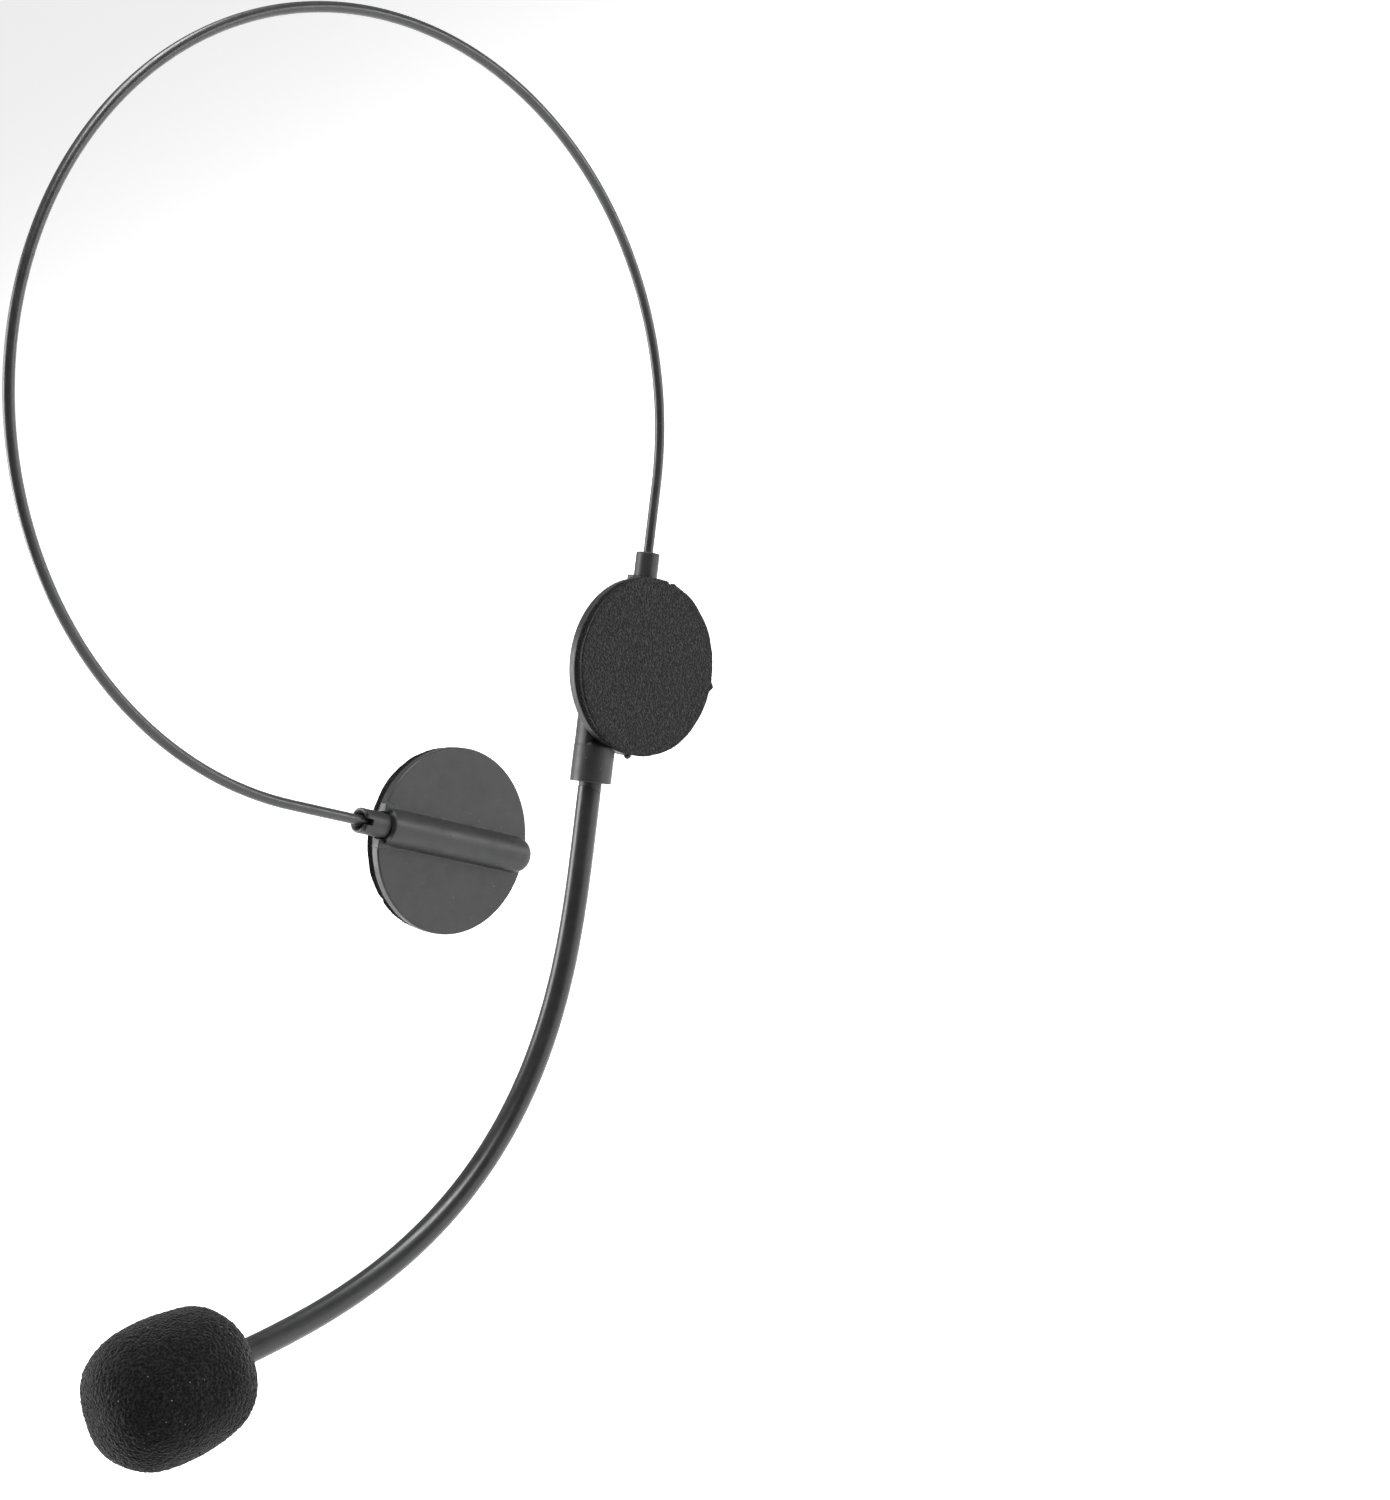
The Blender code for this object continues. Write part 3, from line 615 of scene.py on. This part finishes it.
def shell_mesh(word):
    """Ear disc with its rib and rim blocks, hollowed for the plug, and on the right the boom's socket."""
    plate = disc_mesh(word, EAR_RADIUS, PLATE_INNER_Y, PLATE_OUTER_Y)
    rib = clip_below(bar_mesh(RIB_RADIUS, RIB_END_Z[word], RIB_TOP_Z, dome=RIB_DOME),
                     PLATE_INNER_Y + RIB_SET_IN)
    steps = [("UNION", rib)]
    inside = PLUG_RADIUS + PLUG_GAP
    boss_top = -EAR_DROP[word] + EAR_RADIUS + BOSS_PROUD
    for sign in (-1, 1):
        reach = sorted((sign * (inside - BOSS_INSET), sign * (inside + BOSS_REACH)))
        steps.append(("UNION", box_mesh("boss", reach, BOSS_Y, (boss_top - BOSS_LENGTH, boss_top))))
    if word == "right":
        dome = [(SOCKET_RADIUS * math.sin(a), SOCKET_ARCH_Z - SOCKET_DOME * (1 - math.cos(a)))
                for a in BARREL_DOME_ANGLES]
        barrel = lathe("barrel", dome + [(SOCKET_RADIUS, SOCKET_MOUTH_Z)], 96)
        steps.append(("UNION", moved(barrel, Matrix.Translation((BOOM_X, BOOM_Y, 0)))))
        spine = bar_mesh(SOCKET_RADIUS - SPINE_SET_IN, SOCKET_MOUTH_Z + SPINE_ABOVE_MOUTH, SOCKET_TOP_Z,
                         90, BOOM_X, BOOM_Y)
        steps.append(("UNION", clip_below(spine, SOCKET_FLAT_Y)))
        steps.append(("UNION", box_mesh("web", WEB_X, WEB_Y, WEB_Z)))
        steps.append(("UNION", ball_mesh("gate", GATE_AT, GATE_RADIUS)))
    bore, pocket = SHAFT_RADIUS + GAP, HEAD_RADIUS + GAP
    pocket_top, pocket_end = SHAFT_END_Z + HEAD_LENGTH + GAP, SHAFT_END_Z - GAP
    steps.append(("DIFFERENCE", bar_mesh(inside, RIB_TOP_Z + 0.02 * MM, 0.5 * MM, 64)))
    hollow = [(bore, RIB_TOP_Z + SINK), (bore, pocket_top), (pocket, pocket_top), (pocket, pocket_end)]
    steps.append(("DIFFERENCE", lathe("hollow", hollow, 64)))
    open_y = (PLATE_INNER_Y - SINK, CHANNEL_TOP_Y)
    top = -EAR_DROP[word] + RECESS_RADIUS - 0.8 * MM
    half = pocket * CHANNEL_SHARE
    steps.append(("DIFFERENCE", box_mesh("channel", (-half, half), open_y, (pocket_end + 0.07 * MM, top))))
    recess = [(RECESS_RADIUS, PLATE_INNER_Y + RECESS_DEPTH), (RECESS_RADIUS, PLATE_INNER_Y - SINK)]
    steps.append(("DIFFERENCE", across(lathe("recess", recess, 128), word)))
    if word == "right":
        bore = SHEATH_RADIUS + SOCKET_CLEARANCE
        profile = [(bore, SOCKET_BORE_TOP_Z), (bore, SOCKET_MOUTH_Z + SOCKET_LIP),
                   (bore + SOCKET_LIP, SOCKET_MOUTH_Z), (bore + SOCKET_LIP, SOCKET_MOUTH_Z - SINK)]
        socket = moved(lathe("socket", profile, 80), Matrix.Translation((BOOM_X, BOOM_Y, 0)))
        steps.append(("DIFFERENCE", socket))
    return moulded(carved(plate, steps), SHELL_CELL, 1)


def plug_mesh(word):
    """Swivel plug with a forked, hollow mouth round the wire."""
    floor, top = -(WIRE_INSERT + GAP), PLUG_TOP_Z[word]
    profile = filleted([
        (PLUG_BORE, floor), (PLUG_BORE, top - 1.3 * MM), (PLUG_RADIUS - 0.5 * MM, top), (PLUG_RADIUS, top),
        (PLUG_RADIUS, PLUG_END_Z), (SHAFT_RADIUS + 0.35 * MM, PLUG_END_Z - 0.1 * MM),
        (SHAFT_RADIUS, floor - 0.9 * MM),
        (SHAFT_RADIUS, SHAFT_END_Z + HEAD_LENGTH), (HEAD_RADIUS, SHAFT_END_Z + HEAD_LENGTH),
        (HEAD_RADIUS, SHAFT_END_Z), (0.05 * MM, SHAFT_END_Z), (0.05 * MM, floor),
    ], 0.18 * MM)
    body = lathe("plug", profile, 64, closed=True)
    slot = box_mesh("slot", (-0.6 * MM, 0.6 * MM), (0, 5 * MM), (top - 1.8 * MM, top + MM))
    scoop = box_mesh("scoop", (-3 * MM, 3 * MM), (1.5 * MM, 5 * MM), (top - 0.7 * MM, top + MM))
    return moulded(carved(body, [("DIFFERENCE", slot), ("DIFFERENCE", scoop)]), PLUG_CELL, 2)


PAD_SIDES = 300
PAD_EDGE = 0.35 * MM
PAD_RINGS, PAD_RING_STEP = 61, 0.28 * MM
PAD_WAIST, PAD_WALL_STEPS, PAD_EDGE_STEPS = 0.40 * MM, 8, 6
PAD_RIM_SHARE = 0.97         # the rim, where the cut is uneven, starts at this share of the radius

# Tags and nicks left by the die that cut the foam: bearing and width in degrees, size in mm.
PAD_FLAWS = {
    "right": ((-6, 2.3, 0.85), (80, 1.2, -0.40), (76, 0.9, 0.20)),
    "left": ((40, 1.5, -0.3), (-120, 2.0, 0.3)),
}


def pad_mesh(word):
    """Foam disc with soft rims and a slightly uneven cut edge. Its face is finely pitted."""
    radius, face = PAD_RADIUS[word], PAD_FACE_Y[word]
    back = PLATE_INNER_Y - 0.02 * MM
    edge = PAD_EDGE
    profile = [(radius - edge - PAD_RING_STEP * k, face) for k in range(PAD_RINGS, 0, -1)]
    for i in range(PAD_EDGE_STEPS + 1):
        a = math.pi / 2 * i / PAD_EDGE_STEPS
        profile.append((radius - edge + edge * math.sin(a), face + edge - edge * math.cos(a)))
    wall = back - face - edge
    for i in range(1, PAD_WALL_STEPS + 1):
        waist = PAD_WAIST * math.sin(math.pi * i / PAD_WALL_STEPS)
        profile.append((radius - waist, face + edge + wall * i / PAD_WALL_STEPS))
    mesh = lathe("pad", profile, PAD_SIDES)
    for v in mesh.vertices:
        reach = math.hypot(v.co.x, v.co.y)
        where = v.co / MM
        out = noise.noise(where * 0.35 + Vector((3, 7, 1))) * 0.14 + noise.noise(where * 2.2) * 0.05
        cell = noise.noise(where * 3.1) * 0.035 + noise.noise(where * 6.5) * 0.02
        if reach > radius * PAD_RIM_SHARE:
            bearing = math.degrees(math.atan2(-v.co.y, v.co.x))
            for at, width, size in PAD_FLAWS[word]:
                out += size * math.exp(-((bearing - at) / width) ** 2)
            v.co.x *= 1 + out * MM / reach
            v.co.y *= 1 + out * MM / reach
        if v.co.z < back - 0.3 * MM:
            v.co.z += cell * MM
    return across(mesh, word)


def build_ear(word):
    matrix = EAR[word]
    shell = piece(f"{word}_disc_shell", shell_mesh(word), FINISH["disc_plastic"],
                  (f"{word}_ear_shell",), matrix)
    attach(shell, f"{word}_ear")
    plug = piece(f"{word}_wire_plug", plug_mesh(word), FINISH["disc_plastic"],
                 (f"{word}_swivel_plug",), matrix)
    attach(plug, f"{word}_arm")
    pad = piece(f"{word}_foam_pad", pad_mesh(word), FINISH["pad_foam"],
                (f"{word}_ear_pad", f"{word}_pad_tape"), matrix)
    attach(pad, f"{word}_ear")


# ------------------------------------------------------------------ boom

CUTS = (SHEATH_TOP, 55 * MM, 93 * MM, BOOM_LENGTH)    # the inner two lie midway between joints
TUBE_STEP, TUBE_SIDES = 0.8 * MM, 40
STRAND_STEP, STRAND_SIDES = 1.5 * MM, 16
STRAND_TOP, STRAND_END = -5.6 * MM, 149.4 * MM
TUBE_SLANT_REACH, SPIGOT_SLANT_REACH = 4 * MM, 2.5 * MM
STRANDS = {
    # name: (radius, offset, finish)
    "core_wire": (0.6 * MM, -0.75 * MM, "steel_core"),
    "signal_lead": (0.45 * MM, 0.85 * MM, "lead_jacket"),
}
BOOM_NAMES = ("upper", "middle", "lower")


def boom_frames(start, end, step):
    y_axis = Vector((0, 1, 0))
    count = max(2, math.ceil((end - start) / step))
    frames = []
    for i in range(count + 1):
        length = start + (end - start) * i / count
        frames.append((boom_point(length), y_axis, y_axis.cross(boom_direction(length))))
    return frames


def slant(mesh, z_end, reach):
    """Shears a tube's end at z_end so that it is cut aslant, fading out along the tube."""
    for v in mesh.vertices:
        fade = max(0.0, 1 - abs(z_end - v.co.z) / reach)
        v.co.z += (v.co.x - BOOM_X) * math.tan(SHEATH_SLANT) * fade


def build_boom():
    matrix = EAR["right"]
    for i, name in enumerate(BOOM_NAMES):
        nodes = [name] if i < 2 else ["lower", "tip"]
        tube = sweep("tube", boom_frames(CUTS[i], CUTS[i + 1], TUBE_STEP), SHEATH_RADIUS, TUBE_SIDES,
                     bore=SHEATH_BORE)
        if i == 0:
            slant(tube, SOCKET_MOUTH_Z - SHEATH_TOP, TUBE_SLANT_REACH)
        made = [piece(f"boom_tube_{name}", tube, FINISH["boom_tube"],
                      [f"sheath_{n}" for n in nodes], matrix)]
        start = STRAND_TOP if i == 0 else CUTS[i]
        end = CUTS[i + 1] if i < 2 else STRAND_END
        for strand, (radius, offset, finish) in STRANDS.items():
            mesh = sweep(strand, boom_frames(start, end, STRAND_STEP), radius, STRAND_SIDES, offset=offset)
            made.append(piece(f"boom_{strand}_{name}", mesh, FINISH[finish],
                              [f"{strand}_{n}" for n in nodes], matrix))
        for item in made:
            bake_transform(item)


def build_spigot():
    """The boom's end fitting: a shoulder in the socket and a neck inside the sheath."""
    profile = filleted([(SPIGOT_BORE, SPIGOT_TOP_Z), (SPIGOT_RADIUS, SPIGOT_TOP_Z),
                        (SPIGOT_RADIUS, SPIGOT_SHOULDER_Z), (SPIGOT_NECK, SPIGOT_SHOULDER_Z),
                        (SPIGOT_NECK, SPIGOT_END_Z), (SPIGOT_BORE, SPIGOT_END_Z)], 0.12 * MM)
    mesh = moved(lathe("spigot", profile, 56, closed=True), Matrix.Translation((BOOM_X, BOOM_Y, 0)))
    slant(mesh, SPIGOT_SHOULDER_Z, SPIGOT_SLANT_REACH)
    item = piece("boom_socket_spigot", mesh, FINISH["disc_plastic"], ("boom_spigot",),
                 EAR["right"])
    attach(item, "boom_upper")


# ------------------------------------------------------------------ capsule and windscreen

SCREEN_RINGS, SCREEN_SIDES, SCREEN_BORE_STEPS = 190, 400, 12
SCREEN_NOSE = 0.3 * MM       # the smallest ring that is kept at the far end


def boom_frame(length):
    direction = boom_direction(length)
    y_axis = Vector((0, 1, 0))
    return EAR["right"] @ axes_frame(boom_point(length), y_axis.cross(-direction), y_axis, -direction)


def screen_mesh():
    """Open-celled foam barrel, pitted all over, with a soft mouth round the boom."""
    half = SCREEN_LENGTH / 2
    mouth = SCREEN_BORE
    profile = [(mouth, -SCREEN_BORE_LENGTH + SCREEN_BORE_LENGTH * k / SCREEN_BORE_STEPS)
               for k in range(SCREEN_BORE_STEPS - 1)]
    for i in range(SCREEN_RINGS + 1):
        angle = math.pi * i / SCREEN_RINGS
        width = math.sin(angle) ** (2 / SCREEN_POWER) if 0 < i < SCREEN_RINGS else 0
        depth = abs(math.cos(angle)) ** (2 / SCREEN_POWER) * math.copysign(1, math.cos(angle))
        radius = SCREEN_RADIUS * width
        if radius < mouth + 0.5 * MM and angle < 1:
            continue
        if radius < SCREEN_NOSE and angle > 2:
            continue
        profile.append((radius, -half + half * depth))
    mesh = lathe("screen", profile, SCREEN_SIDES)
    for v in mesh.vertices:
        if math.hypot(v.co.x, v.co.y) < mouth + 0.4 * MM and v.co.z > -SCREEN_BORE_LENGTH - MM:
            continue
        centre = Vector((0, 0, min(max(v.co.z, -half - 5 * MM), -half + 5 * MM)))
        out = (v.co - centre).normalized()
        where = v.co / MM
        soft = noise.noise(where * 0.16 + Vector((5, 1, 2))) * 0.28
        cell = noise.noise(where * 1.3) * 0.10 + noise.noise(where * 2.1 + Vector((9, 4, 1))) * 0.16
        v.co += out * (soft + cell) * MM
    return mesh


def build_screen():
    item = piece("foam_windscreen", screen_mesh(), FINISH["screen_foam"], ("windscreen",),
                 boom_frame(SCREEN_START))
    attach(item, "screen")


def finish_cad(slots):
    """Gives the CAD nodes that stay in view their procedural materials."""
    for name, item in NODES.items():
        if not item.hide_render:
            for holder in item.material_slots:
                holder.material = FINISH[slots[name]]


SLOTS = {row["node"]: row["material_slot"] for row in frame["record"]["subparts"]}

build_band()
for ear_word in ("right", "left"):
    build_ear(ear_word)
build_boom()
build_spigot()
build_screen()
finish_cad(SLOTS)


# ------------------------------------------------------------------ camera, light and floor

LENS, SENSOR_WIDTH = 58.8, 36
FLOOR_SIZE, FLOOR_DROP = 6, 110 * MM
FLOOR_TONE, FLOOR_ROUGHNESS, FLOOR_GLOW = 0.93, 0.9, 0.55
SOFTBOX_AWAY = 0.9
ROOM_FADE = (("From Min", 0.20), ("From Max", 0.85), ("To Min", 0.42), ("To Max", 0.12))


def look(azimuth, elevation, roll):
    """The right, up and forward directions of a camera at these angles in degrees."""
    a, e, r = (math.radians(v) for v in (azimuth, elevation, roll))
    right = Vector((math.cos(a), math.sin(a), 0))
    forward = Vector((-math.sin(a) * math.cos(e), math.cos(a) * math.cos(e), -math.sin(e)))
    up = right.cross(forward)
    right_rolled = right * math.cos(r) + up * math.sin(r)
    up_rolled = -right * math.sin(r) + up * math.cos(r)
    return right_rolled, up_rolled, forward


VIEW_RIGHT, VIEW_UP, VIEW_FORWARD = look(-36.518, 26.93, -25.879)
CAMERA_AT = Vector((-238.117, -366.568, 59.382)) * MM


def make_camera():
    data = bpy.data.cameras.new("camera")
    data.lens = LENS
    data.sensor_width = SENSOR_WIDTH
    data.sensor_fit = "AUTO"
    data.clip_start, data.clip_end = 0.01, 20
    camera = bpy.data.objects.new("camera", data)
    scene.collection.objects.link(camera)
    camera.matrix_world = axes_frame(CAMERA_AT, VIEW_RIGHT, VIEW_UP, -VIEW_FORWARD)
    scene.camera = camera


def area_light(name, place, target, size, power):
    data = bpy.data.lights.new(name, "AREA")
    data.shape = "RECTANGLE"
    data.size, data.size_y = size
    data.energy = power
    light = bpy.data.objects.new(name, data)
    scene.collection.objects.link(light)
    light.location = place
    light.rotation_mode = "QUATERNION"
    light.rotation_quaternion = (Vector(target) - Vector(place)).to_track_quat("-Z", "Y")


def make_world():
    """Grey walls all round, which darken towards the camera's side of the room."""
    world = bpy.data.worlds.new("studio")
    scene.world = world
    world.use_nodes = True
    tree = world.node_tree
    background = tree.nodes["Background"]
    place = tree.nodes.new("ShaderNodeTexCoord")
    facing = tree.nodes.new("ShaderNodeVectorMath")
    facing.operation = "DOT_PRODUCT"
    facing.inputs[1].default_value = -VIEW_FORWARD
    fade = tree.nodes.new("ShaderNodeMapRange")
    fade.interpolation_type = "SMOOTHERSTEP"
    for key, value in ROOM_FADE:
        fade.inputs[key].default_value = value
    tree.links.new(place.outputs["Generated"], facing.inputs[0])
    tree.links.new(facing.outputs["Value"], fade.inputs["Value"])
    tree.links.new(fade.outputs["Result"], background.inputs["Color"])
    background.inputs["Strength"].default_value = 1.0


def make_floor():
    bm = bmesh.new()
    bmesh.ops.create_grid(bm, x_segments=1, y_segments=1, size=FLOOR_SIZE)
    mesh = bpy.data.meshes.new("floor")
    bm.to_mesh(mesh)
    bm.free()
    floor = bpy.data.objects.new("floor", mesh)
    scene.collection.objects.link(floor)
    floor.location = (0, 0, cad_low.z - FLOOR_DROP)
    material = bpy.data.materials.new("floor_paper")
    material.use_nodes = True
    shader = material.node_tree.nodes["Principled BSDF"]
    shader.inputs["Base Color"].default_value = (*grey(FLOOR_TONE), 1)
    shader.inputs["Roughness"].default_value = FLOOR_ROUGHNESS
    shader.inputs["Emission Color"].default_value = (1, 1, 1, 1)
    shader.inputs["Emission Strength"].default_value = FLOOR_GLOW
    mesh.materials.append(material)


def make_lights():
    """Softboxes round the object: a large one over the top of the picture and one on each side."""
    middle = (cad_low + cad_high) / 2
    for name, towards, size, power in (
        ("top_softbox", VIEW_UP - VIEW_FORWARD * 0.4, (0.9, 0.28), 14),
        ("left_softbox", -VIEW_RIGHT + VIEW_FORWARD * 0.10, (0.4, 0.9), 12),
        ("right_softbox", VIEW_RIGHT + VIEW_FORWARD * 0.10, (0.35, 0.9), 8),
    ):
        area_light(name, middle + towards * SOFTBOX_AWAY, middle, size, power)


scene.view_settings.view_transform = "Standard"
make_camera()
make_world()
make_floor()
make_lights()
